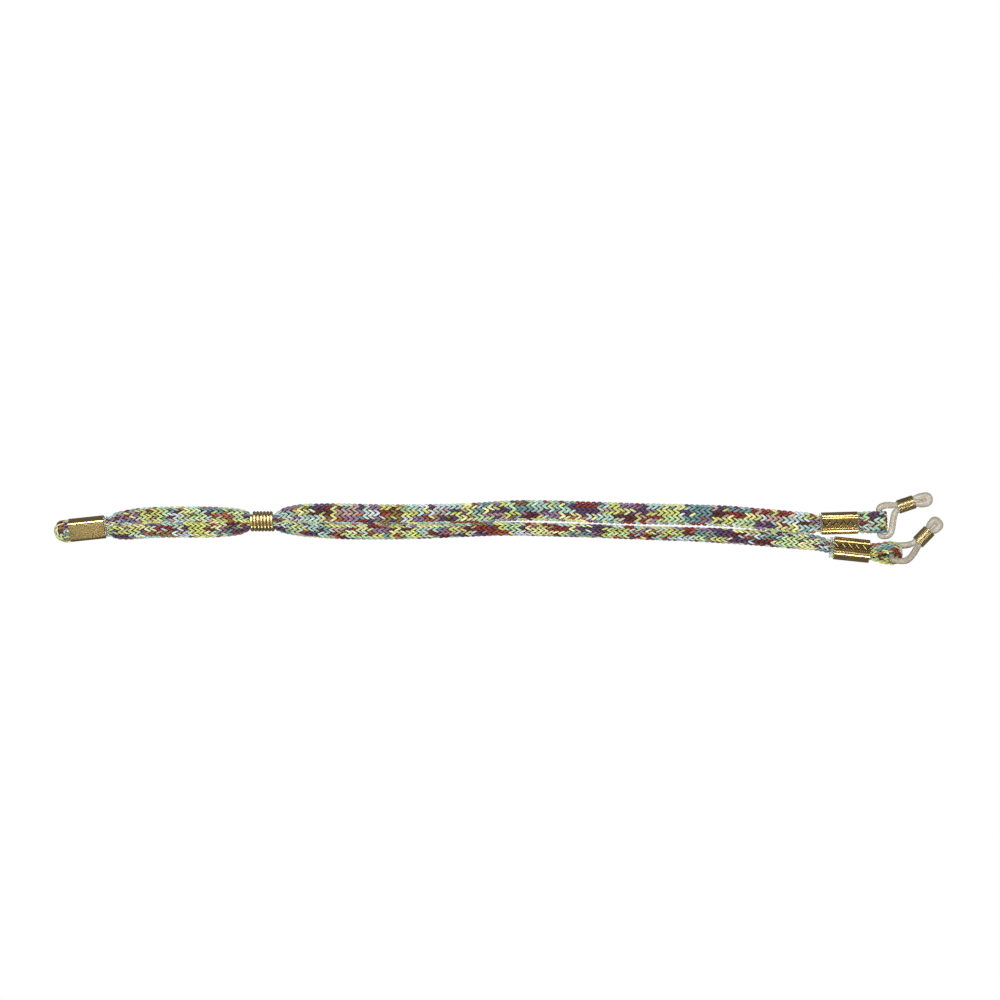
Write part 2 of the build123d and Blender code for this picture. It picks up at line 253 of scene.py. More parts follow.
def seam_material(name, bright, dull, roughness, scratch_stretch, place):
    """Brass with the crimp's toothed seam: a dark zigzag line, painted shade in the recess, teeth a little
    proud.
    """
    material = metal_material(name, bright, dull, roughness, scratch_stretch)
    tree = material.node_tree
    shader = tree.nodes["Principled BSDF"]
    turned = tree.nodes.new("ShaderNodeMapping")
    turned.vector_type = "TEXTURE"
    turned.inputs["Location"].default_value = place.translation
    turned.inputs["Rotation"].default_value = place.to_euler()
    where = tree.nodes.new("ShaderNodeTexCoord")
    tree.links.new(where.outputs["Object"], turned.inputs["Vector"])
    axes = tree.nodes.new("ShaderNodeSeparateXYZ")
    tree.links.new(turned.outputs["Vector"], axes.inputs["Vector"])

    def maths(kind, a, b=0.0, c=0.0):
        node = tree.nodes.new("ShaderNodeMath")
        node.operation = kind
        for socket, value in zip(node.inputs, (a, b, c)):
            if isinstance(value, float):
                socket.default_value = value
            else:
                tree.links.new(value, socket)
        return node.outputs[0]

    step = 2 * HALF_CRIMP * MM / TEETH
    wave = maths("PINGPONG", maths("ADD", axes.outputs["X"], HALF_CRIMP * MM), step / 2)
    zigzag = maths("MULTIPLY_ADD", wave, -4 * TOOTH_REACH / step, TOOTH_REACH)
    away = maths("ABSOLUTE", maths("SUBTRACT", axes.outputs["Y"], zigzag))
    in_recess = maths("MULTIPLY", maths("LESS_THAN", maths("ABSOLUTE", axes.outputs["Y"]), RECESS_HALF_WIDTH),
                      maths("GREATER_THAN", axes.outputs["Z"], SEAM_SIDE_FROM))
    line = maths("MULTIPLY", in_recess, maths("LESS_THAN", away, SEAM_LINE_HALF_WIDTH))
    # the recess floor is darkened by RECESS_SHADE as painted shade; the zigzag line is the dark seam gap
    # itself
    darker = maths("MULTIPLY_ADD", in_recess, RECESS_SHADE, maths("MULTIPLY", line, LINE_SHADE))
    shade = maths("SUBTRACT", 1.0, darker)
    metal_color = shader.inputs["Base Color"].links[0].from_socket
    seam_line_and_recess_shade = tree.nodes.new("ShaderNodeCombineColor")
    for socket in seam_line_and_recess_shade.inputs:
        tree.links.new(shade, socket)
    tree.links.new(multiply(tree, metal_color, seam_line_and_recess_shade.outputs["Color"]), shader.inputs["Base Color"])
    tooth = maths("MULTIPLY", in_recess, maths("MINIMUM", maths("DIVIDE", away, TOOTH_SLOPE), 1.0))
    bump(tree, shader, tooth, 0.9, TOOTH_HEIGHT)
    return material


def silicone_material():
    """Milky, slightly pink-grey rubber: light scatters inside it and a soft sheen lies on it."""
    material, tree, shader = new_material(
        "milky_silicone", Transmission_Weight=0.5, IOR=1.41, Subsurface_Weight=0.2, Subsurface_Scale=0.0012
    )
    shader.inputs["Subsurface Radius"].default_value = (1.0, 0.9, 0.8)
    cloud = noise(tree, object_coordinates(tree), 160, 2.0)
    tint = ramp(tree, cloud, [(0.3, linear(176, 168, 152)), (0.7, linear(202, 196, 182))])
    tree.links.new(tint, shader.inputs["Base Color"])
    smear = ramp(tree, noise(tree, object_coordinates(tree), 240), [(0.3, grey(0.26)), (0.7, grey(0.4))])
    tree.links.new(smear, shader.inputs["Roughness"])
    return material


def liner_material():
    material, tree, shader = new_material("clear_sleeve", Transmission_Weight=0.9, IOR=1.38)
    shader.inputs["Base Color"].default_value = linear(240, 242, 236)
    haze = noise(tree, object_coordinates(tree), 300)
    tree.links.new(ramp(tree, haze, [(0.3, grey(0.06)), (0.7, grey(0.2))]), shader.inputs["Roughness"])
    return material


# ---------------------------------------------------------------- routes
def unit(vectors):
    return vectors / np.linalg.norm(vectors, axis=-1, keepdims=True)


def arc_lengths(line):
    return np.r_[0, np.cumsum(np.linalg.norm(np.diff(line, axis=0), axis=1))]


def follow(points, step):
    """Points evenly spaced along the route's smooth line."""
    curve = bpy.data.curves.new("route", "CURVE")
    curve.dimensions = "3D"
    curve.resolution_u = 24
    spline = curve.splines.new("NURBS")
    spline.points.add(len(points) - 1)
    for control, point in zip(spline.points, points):
        control.co = (*point, 1)
    spline.order_u = 3
    spline.use_endpoint_u = True
    holder = bpy.data.objects.new("route", curve)
    mesh = bpy.data.meshes.new_from_object(holder)
    line = np.array([v.co for v in mesh.vertices], float)
    bpy.data.objects.remove(holder)
    bpy.data.curves.remove(curve)
    bpy.data.meshes.remove(mesh)
    keep = np.r_[True, np.linalg.norm(np.diff(line, axis=0), axis=1) > 1e-7]
    line = line[keep]
    along = arc_lengths(line)
    even = np.linspace(0, along[-1], int(along[-1] / step) + 1)
    return np.stack([np.interp(even, along, line[:, i]) for i in range(3)], axis=1)


def smoothed(values, reach):
    """Moving average over 2 * reach + 1 samples, with the ends held."""
    padded = np.concatenate([values[:1].repeat(reach, 0), values, values[-1:].repeat(reach, 0)])
    window = np.ones(2 * reach + 1) / (2 * reach + 1)
    return np.stack([np.convolve(padded[:, i], window, "valid") for i in range(values.shape[1])], axis=1)


def keyed(along, keys):
    """Values at each arc length, eased between (arc length, value or vector) keys."""
    places = np.array([k[0] for k in keys], float)
    values = np.array([np.atleast_1d(k[1]) for k in keys], float)
    index = np.clip(np.searchsorted(places, along) - 1, 0, len(places) - 2)
    t = np.clip((along - places[index]) / np.maximum(places[index + 1] - places[index], 1e-9), 0, 1)
    t = (t * t * (3 - 2 * t))[:, None]
    return values[index] * (1 - t) + values[index + 1] * t


def frames(line, kind, keys):
    """Arc lengths, and unit sideways and upward vectors along the line; the keys steer one of the two."""
    along = arc_lengths(line)
    tangent = unit(smoothed(np.gradient(line, axis=0), 2))
    wanted = keyed(along, keys)
    wanted = unit(wanted - (wanted * tangent).sum(1, keepdims=True) * tangent)
    if kind == "side":
        return along, wanted, np.cross(tangent, wanted)
    return along, np.cross(wanted, tangent), wanted


# ---------------------------------------------------------------- meshes
def mesh_object(name, vertices, faces, materials, material_indices=None):
    mesh = bpy.data.meshes.new(name)
    mesh.from_pydata(vertices.tolist(), [], [list(map(int, f)) for f in faces])
    for material in materials:
        mesh.materials.append(material)
    if material_indices is not None:
        mesh.polygons.foreach_set("material_index", np.asarray(material_indices, np.int32))
    mesh.polygons.foreach_set("use_smooth", np.ones(len(mesh.polygons), bool))
    mesh.update()
    piece = bpy.data.objects.new(name, mesh)
    bpy.context.scene.collection.objects.link(piece)
    return piece


def round_tube(line, side, up, radii, sides):
    """Vertices and faces of a closed tube; radii may vary along the line."""
    angle = np.linspace(0, 2 * math.pi, sides, endpoint=False)
    ring = np.cos(angle)[None, :, None] * side[:, None] + np.sin(angle)[None, :, None] * up[:, None]
    vertices = (line[:, None] + ring * np.asarray(radii).reshape(-1, 1, 1)).reshape(-1, 3)
    faces = []
    for i in range(len(line) - 1):
        for j in range(sides):
            k = (j + 1) % sides
            faces.append((i * sides + j, i * sides + k, (i + 1) * sides + k, (i + 1) * sides + j))
    faces.append(tuple(reversed(range(sides))))
    faces.append(tuple(range((len(line) - 1) * sides, len(line) * sides)))
    return vertices, faces


# ---------------------------------------------------------------- knitted cord
WALES = 7
COURSE = 1.95 * MM  # length of one row of stitches
YARN = 0.42 * MM  # about the radius of a yarn leg at its middle
SECTION_POWER = 2.6
FULL_PERIMETER = 16.0 * MM
LEG_RINGS = 7
LEG_SIDES = 7
LEG_START = -0.18  # where a leg begins and how far it runs, in courses
LEG_RUN = 1.16
PLACE_SPREAD = 0.045
TURN_SPREAD = 0.012
THICKNESS_SPREAD = 0.05
CORE_SIDES = 24
CORE_STEP = 4  # points of the line for each ring of the core
CORE_SHARE = 0.84
ROUTE_STEP = 0.25 * MM
PROBE = 0.2 * MM
PROBE_TURN = 1e-3
CELL_MARGIN = 0.08  # the legs' UV cells fill the square up to LEG_UV_TOP, and the core lies above
LEG_UV_TOP = 0.95
CORE_UV_BASE = 0.96

# each dye and how often it comes up
DYES = [
    (linear(200, 206, 118), 0.17), (linear(218, 220, 158), 0.12), (linear(186, 212, 162), 0.09),
    (linear(172, 204, 194), 0.13), (linear(198, 210, 216), 0.08), (linear(108, 146, 152), 0.05),
    (linear(138, 112, 142), 0.08), (linear(84, 58, 94), 0.07), (linear(136, 44, 38), 0.08),
    (linear(88, 30, 40), 0.04), (linear(168, 100, 70), 0.03), (linear(180, 152, 148), 0.03),
    (linear(134, 108, 62), 0.03),
]
SHORTEST_RUN = 1
LONGEST_RUN = 4
SHARED_RUNS = 0.22
STRAY_LEGS = 0.3
SHADE_SPREAD = 0.14


def section_table(half_widths, half_heights, count=112):
    """Rounded flat section at each place, its points evenly spaced round the outline."""
    angle = np.linspace(0, 2 * math.pi, 257)
    c, s = np.cos(angle), np.sin(angle)
    flat_c = np.sign(c) * np.abs(c) ** (2 / SECTION_POWER)
    flat_s = np.sign(s) * np.abs(s) ** (2 / SECTION_POWER)
    fraction = np.linspace(0, 1, count + 1)
    across, height, perimeter = [], [], []
    for half_width, half_height in zip(half_widths, half_heights):
        x, z = half_width * flat_c, half_height * flat_s
        run = np.r_[0, np.cumsum(np.hypot(np.diff(x), np.diff(z)))]
        across.append(np.interp(fraction * run[-1], run, x))
        height.append(np.interp(fraction * run[-1], run, z))
        perimeter.append(run[-1])
    return np.array(across), np.array(height), np.array(perimeter)


def knit_surface(line, along, side, up, across, height):
    """A function giving the point of the knit at an arc length and a fraction round the cord."""
    count = across.shape[1] - 1

    def at(s, turn):
        row = np.clip(s / along[-1], 0, 1) * (len(line) - 1)
        r0 = np.clip(row.astype(int), 0, len(line) - 2)
        rt = (row - r0)[..., None]
        column = (turn % 1.0) * count
        c0 = np.clip(column.astype(int), 0, count - 1)
        ct = column - c0

        def table(values):
            low = values[r0, c0] * (1 - ct) + values[r0, c0 + 1] * ct
            high = values[r0 + 1, c0] * (1 - ct) + values[r0 + 1, c0 + 1] * ct
            return (low * (1 - rt[..., 0]) + high * rt[..., 0])[..., None]

        def blend(vectors):
            return vectors[r0] * (1 - rt) + vectors[r0 + 1] * rt

        return blend(line) + table(across) * blend(side) + table(height) * blend(up)

    return at


def dye_runs(courses, rng):
    """A dye for each stitch: short runs along each wale, often shared with the next wale."""
    weights = np.array([w for _, w in DYES])
    weights = weights / weights.sum()
    dyes = np.zeros((courses, WALES), int)
    for wale in range(WALES):
        course = 0
        while course < courses:
            run = int(rng.integers(SHORTEST_RUN, LONGEST_RUN + 1))
            copied = wale > 0 and rng.random() < SHARED_RUNS
            dye = dyes[course, wale - 1] if copied else rng.choice(len(DYES), p=weights)
            dyes[course:course + run, wale] = dye
            course += run
    return dyes


def leg_faces():
    """Faces of one yarn leg, pointed at both ends, and the place of each face corner in its UV cell."""
    last = (LEG_RINGS - 1) * LEG_SIDES
    start_tip = LEG_RINGS * LEG_SIDES
    faces, corners = [], []
    for i in range(LEG_RINGS - 1):
        here, ahead = i * LEG_SIDES, (i + 1) * LEG_SIDES
        for j in range(LEG_SIDES):
            k = (j + 1) % LEG_SIDES
            faces.append((here + j, ahead + j, ahead + k, here + k))
            corners.extend([(i + 1, j), (i + 2, j), (i + 2, j + 1), (i + 1, j + 1)])
    for j in range(LEG_SIDES):
        k = (j + 1) % LEG_SIDES
        faces.append((j, k, start_tip))
        corners.extend([(1, j), (1, j + 1), (0, j + 0.5)])
        faces.append((last + k, last + j, start_tip + 1))
        corners.extend([(LEG_RINGS, j + 1), (LEG_RINGS, j), (LEG_RINGS + 1, j + 0.5)])
    corners = np.array(corners, float) / (LEG_RINGS + 1, LEG_SIDES)
    return faces, corners * (1 - 2 * CELL_MARGIN) + CELL_MARGIN


def leg_vertices(surface, s, turn, radius, lift):
    """Each yarn leg as rings round a line that lies on the knit's surface, closed by two tips."""
    centre = surface(s, turn)
    ahead = surface(s + PROBE, turn) - surface(s - PROBE, turn)
    around = surface(s, turn + PROBE_TURN) - surface(s, turn - PROBE_TURN)
    normal = unit(np.cross(around, ahead))
    run = unit(np.gradient(centre, axis=1))
    beside = unit(np.cross(normal, run))
    centre = centre + normal * lift[..., None]
    angle = np.linspace(0, 2 * math.pi, LEG_SIDES, endpoint=False)
    ring = (np.cos(angle)[None, None, :, None] * normal[:, :, None]
            + np.sin(angle)[None, None, :, None] * beside[:, :, None])
    body = centre[:, :, None] + ring * radius[:, :, None, None]
    tips = np.stack([centre[:, 0] - run[:, 0] * radius[:, :1] * 0.6,
                     centre[:, -1] + run[:, -1] * radius[:, -1:] * 0.6], axis=1)
    return np.concatenate([body.reshape(len(centre), -1, 3), tips], axis=1)


def core_tube(surface, line, along, first):
    """The core in painted shade: its vertices, its faces numbered from first, and a UV for each face corner.
    """
    rows = np.arange(0, len(line), CORE_STEP)
    row_s, row_turn = np.meshgrid(along[rows], np.linspace(0, 1, CORE_SIDES, endpoint=False), indexing="ij")
    middle = line[rows][:, None]
    vertices = middle + (surface(row_s, row_turn) - middle) * CORE_SHARE
    faces, uvs = [], []
    for i in range(len(rows) - 1):
        here, ahead = first + i * CORE_SIDES, first + (i + 1) * CORE_SIDES
        for j in range(CORE_SIDES):
            k = (j + 1) % CORE_SIDES
            faces.append([here + j, ahead + j, ahead + k, here + k])
            for a, b in ((i, j), (i + 1, j), (i + 1, j + 1), (i, j + 1)):
                uvs.append((a / len(rows), CORE_UV_BASE + (1 - CORE_UV_BASE) * b / CORE_SIDES))
    last = first + (len(rows) - 1) * CORE_SIDES
    faces.append([first + j for j in range(CORE_SIDES)])
    faces.append([last + j for j in reversed(range(CORE_SIDES))])
    uvs.extend([(0.0, CORE_UV_BASE + 0.005)] * (2 * CORE_SIDES))
    return vertices.reshape(-1, 3), faces, uvs


def knit_cord(name, line, kind, frame_keys, size_keys, direction, seed, materials):
    """Tubular knit along a line: two bent yarn legs for each stitch, over a core painted dark as shade."""
    rng = np.random.default_rng(seed)
    along, side, up = frames(line, kind, frame_keys)
    sizes = keyed(along, size_keys)
    across, height, perimeter = section_table(sizes[:, 0] - YARN, sizes[:, 1] - YARN)
    surface = knit_surface(line, along, side, up, across, height)
    length = along[-1]
    courses = int(length / COURSE) - 1
    pitch = length / (courses + 1)
    dyes = dye_runs(courses, rng)

    course, wale, leg = (g.ravel() for g in np.meshgrid(
        np.arange(courses), np.arange(WALES), (-1, 1), indexing="ij"))
    legs = len(course)
    t = np.linspace(0, 1, LEG_RINGS)[None, :]
    ease = 0.4 * t + 0.6 * t * t * (3 - 2 * t)
    start = (course[:, None] + 0.5 + rng.normal(0, PLACE_SPREAD, (legs, 1))) * pitch
    s = start + (LEG_START + LEG_RUN * t) * pitch
    if direction < 0:
        s = length - s
    lateral = (0.03 + 0.455 * ease + rng.normal(0, TURN_SPREAD, (legs, 1))) / WALES
    turn = (wale[:, None] + 0.5) / WALES + leg[:, None] * lateral
    tight = np.clip(np.interp(s, along, perimeter) / FULL_PERIMETER, 0.45, 1.1)
    swell = np.sin(math.pi * np.clip(0.10 + 0.82 * t, 0, 1)) ** 0.6
    radius = YARN * tight * (0.45 + 0.6 * swell) * (1 + rng.normal(0, THICKNESS_SPREAD, (legs, 1)))
    lift = YARN * tight * (-0.55 + 0.75 * np.sin(math.pi * (0.12 + 0.86 * t)))
    vertices = leg_vertices(surface, s, turn, radius, lift)
    per_leg = vertices.shape[1]

    faces, corners = leg_faces()
    leg_numbers = np.arange(legs)
    cells = int(math.ceil(math.sqrt(legs)))
    cell = np.stack([leg_numbers % cells, leg_numbers // cells], axis=1)
    leg_uv = (cell[:, None] + corners[None]) / cells * (1.0, LEG_UV_TOP)
    all_faces = [[number * per_leg + c for c in face] for number in range(legs) for face in faces]
    core_base = legs * per_leg
    core, core_faces, core_uv = core_tube(surface, line, along, core_base)
    material_indices = np.r_[np.zeros(len(all_faces)), np.ones(len(core_faces))]
    total = np.concatenate([vertices.reshape(-1, 3), core])
    piece = mesh_object(name, total, all_faces + core_faces, materials, material_indices)
    flat_uv = np.concatenate([leg_uv.reshape(-1, 2), np.array(core_uv)])
    uv_layer = piece.data.uv_layers.new(name="OFBake")
    uv_layer.data.foreach_set("uv", flat_uv.astype(np.float32).ravel())

    strayed = rng.random(legs) < STRAY_LEGS
    stitch_dye = np.where(strayed, rng.integers(0, len(DYES), legs), dyes[course, wale])
    shade = np.clip(rng.normal(1.0, SHADE_SPREAD, (legs, 1)), 0.65, 1.3)
    leg_color = np.array([color for color, _ in DYES])[stitch_dye]
    leg_color[:, :3] = np.clip(leg_color[:, :3] * shade, 0, 1)
    colors = np.ones((len(total), 4))
    colors[:core_base] = np.repeat(leg_color, per_leg, axis=0)
    # the core's near-black colour is painted shade, the shade inside the tube seen through the eyelets
    colors[core_base:, :3] = 0.1
    attribute = piece.data.attributes.new("dye", "FLOAT_COLOR", "POINT")
    attribute.data.foreach_set("color", colors.astype(np.float32).ravel())
    return piece


# ---------------------------------------------------------------- places taken from the frame
def crimp_frame(x, y, z, heading, roll):
    """A crimp's own axes: x along it, z towards its seam side; its middle is given in millimetres."""
    turn = Matrix.Rotation(math.radians(heading), 4, "Z") @ Matrix.Rotation(math.radians(roll), 4, "X")
    return Matrix.Translation((x * MM, y * MM, z * MM)) @ turn


def local(place, x, y, z):
    """World point of a point in millimetres in a crimp's own axes."""
    return tuple(place @ Vector((x * MM, y * MM, z * MM)))


def direction(place, x, y, z):
    return tuple(place.to_3x3() @ Vector((x, y, z)))


tail = crimp_frame(-148.5, 0.75, 3.40, 6, 205)
upper = crimp_frame(122.3, 2.67, 2.5, 1.6, 0)
lower = crimp_frame(126.5, -6.8, 3.78, -6, -33)
lower_loop = lower @ Matrix.Rotation(math.radians(-19), 4, "X")
LOWER_HOLE_Y = -0.6
adjuster_low, adjuster_high = (Vector(c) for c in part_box("adjuster_coil"))
adjuster = (adjuster_low + adjuster_high) / 2


def first_and_last_near(line, point, reach):
    """Arc lengths where the line first and last passes within reach of a point."""
    near = np.nonzero(np.linalg.norm(line - np.array(point), axis=1) < reach)[0]
    along = arc_lengths(line)
    return along[near[0]], along[near[-1]]


# ---------------------------------------------------------------- the cord, in three runs
# The routes' points are in millimetres. Both strands pass through the adjuster side by side.
def in_metres(points):
    return [tuple(value * MM for value in point) for point in points]


NECK_OFFSET = 1.225
# half width and half height of the cord in the adjuster, just outside it, in an end crimp and at its cut
NECK = (1.45, 1.6)
BESIDE_COIL = (2.25, 1.8)
IN_CRIMP = (3.15, 0.78)
AT_CUT = (3.15, 0.75)
MOUTH_REACH = 4.4 * MM
COIL_EDGE = 1.2 * MM
NECK_UPPER = (adjuster.x / MM, adjuster.y / MM + NECK_OFFSET, adjuster.z / MM)
NECK_LOWER = (adjuster.x / MM, adjuster.y / MM - NECK_OFFSET, adjuster.z / MM)

TAIL_ROUTE = (
    in_metres([NECK_UPPER, (-90.3, 4.6, 2.8), (-93.5, 5.3, 2.0), (-101.5, 5.7, 1.5), (-113, 5.75, 1.5),
               (-126, 5.65, 1.55), (-135.6, 4.5, 2.4)])
    + [local(tail, x, y, -0.4) for x, y in (
        (8.5, -1.75), (5.5, -1.7), (0, -1.7), (-5.5, -1.8), (-6.9, -2.4), (-8.1, -2.55), (-9.7, -1.2),
        (-9.7, 1.2), (-8.1, 2.55), (-6.9, 2.4), (-5.5, 1.8), (0, 1.7), (5.5, 1.7), (8.5, 1.75))]
    + in_metres([(-135.6, -0.75, 1.9), (-126, 0.3, 1.55), (-113, 0.35, 1.5), (-101.5, 0.25, 1.5),
                 (-93.5, 1.0, 2.0), (-90.3, 2.0, 2.8), NECK_LOWER])
)
UPPER_ROUTE = (
    in_metres([NECK_UPPER, (-80.3, 4.55, 2.8), (-77.0, 5.5, 1.9), (-71.5, 6.1, 1.4), (-62, 6.1, 1.4),
               (-50, 5.75, 1.4), (-36.8, 5.7, 1.4), (-19.5, 5.95, 1.4), (-8, 6.35, 1.4), (3.4, 7.2, 1.4),
               (14.9, 7.3, 1.4), (36, 6.5, 1.4), (50.4, 6.0, 1.4), (64.7, 5.8, 1.4), (82, 5.25, 1.4),
               (93.5, 4.15, 1.4), (104.9, 2.95, 1.45), (110.5, 2.45, 1.55)])
    + [local(upper, x, 0, z) for x, z in (
        (-7.5, -0.9), (0, -1.05), (6.5, -1.05), (9.5, -1.5), (12.5, -1.6), (15.1, -1.6), (16.3, -0.4),
        (16.3, 1.25), (15.1, 2.45), (12.5, 2.35), (9.5, 1.3), (6.5, 0.3), (0, 0.25), (-5.8, 0.25))]
)
LOWER_ROUTE = (
    in_metres([NECK_LOWER, (-80.3, 2.05, 2.8), (-77.0, 1.3, 2.2), (-71.5, 0.55, 2.05), (-62, -0.2, 2.05),
               (-50, -0.55, 2.05), (-36.8, -0.6, 2.05), (-19.5, -0.15, 2.05), (-8, 0.45, 2.05),
               (3.4, 0.6, 2.05), (14.9, 0.4, 2.05), (36, -0.2, 2.05), (53.2, -0.95, 2.05),
               (70.5, -1.35, 2.05), (87.7, -2.3, 2.0), (99, -3.1, 2.0), (107, -3.85, 2.0),
               (113.5, -4.25, 2.1)])
    + [local(lower, x, y, z) for x, y, z in ((-7.5, 0.75, -0.9), (0, 0, -1.05), (6.0, 0, -1.05))]
    + [local(lower_loop, x, LOWER_HOLE_Y, z) for x, z in (
        (9.6, -1.7), (12.4, -2.2), (15.5, -2.25), (17.25, -0.5), (17.25, 2.0), (15.5, 3.7), (12.4, 3.6),
        (9.6, 2.0))]
    + [local(lower, x, 0, z) for x, z in ((6.5, 0.3), (0, 0.25), (-5.8, 0.25))]
)
# millimetres from the adjuster, half width and half height of each strand
UPPER_SIZES = [(9, 3.2, 1.6), (15, 3.7, 1.42), (30, 3.95, 1.4), (60, 3.75, 1.38), (95, 3.85, 1.4),
               (125, 3.95, 1.38), (150, 3.9, 1.38), (175, 3.95, 1.4), (188, 4.1, 1.4), (197, 4.15, 1.4)]
LOWER_SIZES = [(9, 2.6, 1.9), (15, 2.8, 2.0), (30, 2.85, 2.0), (70, 2.65, 1.95), (100, 2.55, 1.95),
               (130, 2.6, 1.95), (150, 2.65, 2.0), (170, 2.85, 1.9), (188, 3.0, 1.8), (199, 3.0, 1.7)]


def sized(keys):
    """Section keys given as (arc length, half width, half height) with the sizes in millimetres."""
    return [(place, (half_width * MM, half_height * MM)) for place, half_width, half_height in keys]


def make_tail_run(materials):
    """The cord behind the adjuster: into the tail crimp, round the fold, and back."""
    line = follow(TAIL_ROUTE, ROUTE_STEP)
    total = arc_lengths(line)[-1]
    mouth_in, mouth_out = first_and_last_near(line, local(tail, HALF_CRIMP + 0.8, 0, -0.4), 2.2 * MM)
    depth = 2 * HALF_CRIMP * MM
    back_up = (0, 0, 1)
    rolled_up = direction(tail, 0, 0, -1)
    frame_keys = [(0, back_up), (mouth_in - 12 * MM, back_up), (mouth_in, rolled_up),
                  (mouth_out, rolled_up), (mouth_out + 12 * MM, back_up), (total, back_up)]
    half = total / 2
    ends = [(0, *NECK), (MOUTH_REACH, *NECK), (MOUTH_REACH + COIL_EDGE, *BESIDE_COIL),
            (MOUTH_REACH + 5 * MM, 2.8, 1.6), (18 * MM, 3.0, 1.55), (mouth_in - 12 * MM, 3.05, 1.6),
            (mouth_in - 3 * MM, 2.85, 1.65), (mouth_in, 2.1, 1.5),
            (mouth_in + 3 * MM, 1.7, 1.35), (mouth_in + depth - 1 * MM, 1.75, 1.4)]
    back = [(total - place, width, height) for place, width, height in reversed(ends)]
    size_keys = sized(ends + [(half, 2.35, 2.15)] + back)
    piece = knit_cord("cord_tail_run", line, "up", frame_keys, size_keys, 1, 11, materials)
    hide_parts("cord_tail_loop", "cord_back_upper", "cord_back_lower", "cord_neck")
    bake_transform(piece)


def make_end_run(name, route, crimp, loop, sizes, loop_sizes, direction_sign, seed,
                 replaced, materials):
    """One strand, from the adjuster through its crimp, round its end loop and back into the crimp."""
    line = follow(route, ROUTE_STEP)
    total = arc_lengths(line)[-1]
    mouth_point = local(crimp, -HALF_CRIMP - 0.8, 0, -0.9)
    mouth = first_and_last_near(line, mouth_point, 2.0 * MM)[0]
    depth = 2 * HALF_CRIMP * MM
    flat = (0, 1, 0)
    crimp_side = direction(crimp, 0, 1, 0)
    loop_side = direction(loop, 0, 1, 0)
    back_in = total - depth - 1.0 * MM
    loop_in = mouth + depth + 2 * MM
    frame_keys = [(0, flat), (mouth - 14 * MM, flat), (mouth, crimp_side), (loop_in - 2 * MM, crimp_side),
                  (loop_in + 4 * MM, loop_side), (back_in - 4 * MM, loop_side), (back_in, crimp_side),
                  (total, crimp_side)]
    band_width, band_height, mouth_width = loop_sizes
    size_keys = sized(
        [(0, *NECK), (MOUTH_REACH, *NECK), (MOUTH_REACH + COIL_EDGE, *BESIDE_COIL)]
        + [(place * MM, width, height) for place, width, height in sizes]
        + [(mouth - 1 * MM, mouth_width, 1.35), (mouth + 2 * MM, *IN_CRIMP), (loop_in - 2 * MM, *IN_CRIMP),
           (loop_in + 3 * MM, band_width, band_height), (back_in - 3 * MM, band_width, band_height),
           (back_in, *IN_CRIMP), (total, *AT_CUT)]
    )
    piece = knit_cord(name, line, "side", frame_keys, size_keys, direction_sign, seed, materials)
    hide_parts(*replaced)
    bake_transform(piece)


# ---------------------------------------------------------------- wound wire coils
WIRE_SIDES = 10
STEPS_PER_TURN = 56
FIRST_ANGLE = 0.9
ADJUSTER_WIRE = 1.2 * MM
ADJUSTER_BORE_WIDTH = 5.0 * MM
ADJUSTER_BORE_HEIGHT = 3.1 * MM
ADJUSTER_TURNS = 6.62
ADJUSTER_PITCH = 1.215 * MM


def wound_wire(name, centre, along, across, half_across, half_up, straight, wire, turns, pitch, material):
    """Close-wound wire on a round or flat-sided former, its two ends tucked slightly inward."""
    along, across = Vector(along).normalized(), Vector(across).normalized()
    upward = along.cross(across)
    count = int(turns * STEPS_PER_TURN)
    line = []
    for i in range(count + 1):
        angle = 2 * math.pi * i / STEPS_PER_TURN + FIRST_ANGLE
        c, s = math.cos(angle), math.sin(angle)
        ease = min(1.0, min(i, count - i) / (0.22 * STEPS_PER_TURN))
        tuck = 1 - 0.10 * (1 - ease) ** 2
        shift = (i / count - 0.5) * turns * pitch
        sideways = (straight * math.copysign(min(1.0, abs(c) * 2.2), c) + half_across * c) * tuck
        line.append(centre + along * shift + across * sideways + upward * (half_up * s * tuck))
    line = np.array([tuple(p) for p in line])
    tangent = unit(np.gradient(line, axis=0))
    out = unit(np.cross(tangent, np.array(tuple(along))))
    binormal = np.cross(tangent, out)
    radii = np.full(len(line), wire / 2)
    vertices, faces = round_tube(line, out, binormal, radii, WIRE_SIDES)
    return mesh_object(name, vertices, faces, [material])


def make_adjuster(material):
    half_up = (ADJUSTER_BORE_HEIGHT + ADJUSTER_WIRE) / 2
    straight = (ADJUSTER_BORE_WIDTH - ADJUSTER_BORE_HEIGHT) / 2
    piece = wound_wire("adjuster_wire_coil", adjuster, (1, 0, 0), (0, 1, 0), half_up, half_up, straight,
                       ADJUSTER_WIRE, ADJUSTER_TURNS, ADJUSTER_PITCH, material)
    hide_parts("adjuster_coil")
    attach(piece, "slider")


COIL_LENGTH = 6.16 * MM
COIL_BORE_RADIUS = 2.13 * MM
COIL_WIRE = 0.41 * MM
COIL_TURNS = 13.6
COIL_PITCH = 0.445 * MM


def ring_coil_place(node, heading):
    """A coil's middle, the direction of its bore, and the sideways direction of the legs in it."""
    low, high = (Vector(corner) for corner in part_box(node))
    middle = (low + high) / 2
    heading = Vector(heading).normalized()
    return middle, heading, Vector((0, 0, 1)).cross(heading)


def make_ring_coil(name, node, body, place, material):
    """The close-wound coil that slides on a ring's two legs."""
    middle, heading, side = place
    radius = COIL_BORE_RADIUS + COIL_WIRE / 2
    piece = wound_wire(name, middle, heading, side, radius, radius, 0, COIL_WIRE, COIL_TURNS, COIL_PITCH,
                       material)
    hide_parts(node)
    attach(piece, body)


# ---------------------------------------------------------------- silicone rings
RING_STEP = 0.2 * MM
RING_SIDES = 20
# how far each leg lies from the coil's middle, then the tube's radius along its length
LEG_OFFSET = 1.03 * MM
LEG_IN_COIL = 0.99 * MM
LEG_IN_LOOP = 1.02 * MM
LEG_FREE = 1.18 * MM
LEG_AT_EYE = 1.34 * MM


